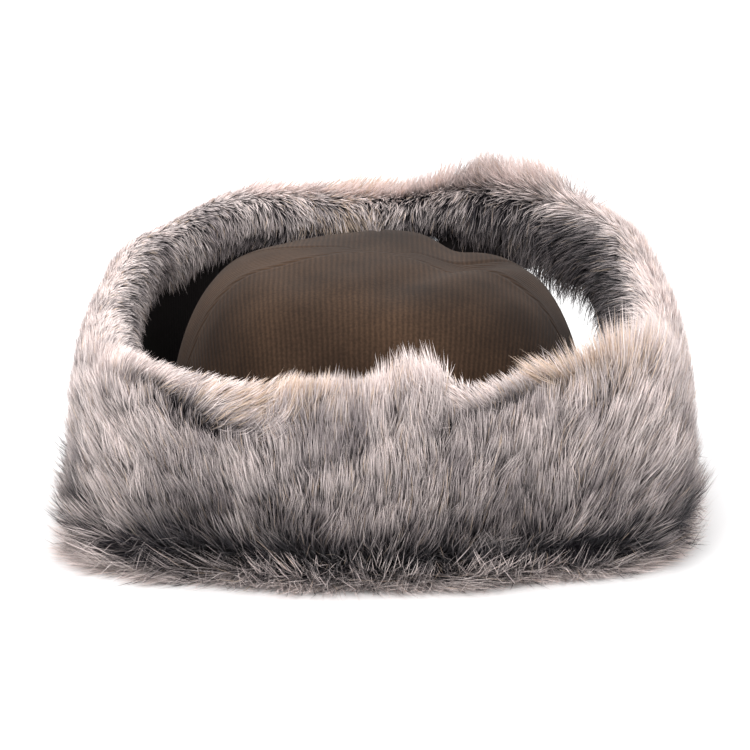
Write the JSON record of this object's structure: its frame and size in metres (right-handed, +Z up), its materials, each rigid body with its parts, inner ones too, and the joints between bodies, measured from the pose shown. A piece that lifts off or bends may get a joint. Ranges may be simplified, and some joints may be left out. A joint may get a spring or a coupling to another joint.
{
  "type": "ushanka hat",
  "caption": "Winter hat with a soft corduroy crown and deep-fur flaps turned up all round it.",
  "frame": {"origin": "middle of the bounding box, on the floor that the hat rests on", "axes": "+Z up, -Y towards the front of the hat, +X towards the wearer's left ear"},
  "size_m": [0.2942, 0.2976, 0.1184],
  "materials": {
    "crown_corduroy": "fine-wale brown corduroy",
    "flap_corduroy": "dark brown cloth",
    "fur": "deep grey pile with dark roots and pale tips",
    "stud_metal": "polished"
  },
  "bodies": {
    "root": {"crown": "crown_corduroy", "visor_cloth": "flap_corduroy", "visor_fur": "fur", "neck_cloth": "flap_corduroy", "neck_fur": "fur", "ear_right_cloth": "flap_corduroy", "ear_right_fur": "fur", "ear_left_cloth": "flap_corduroy", "ear_left_fur": "fur", "press_stud": "stud_metal"}
  },
  "joints": []
}
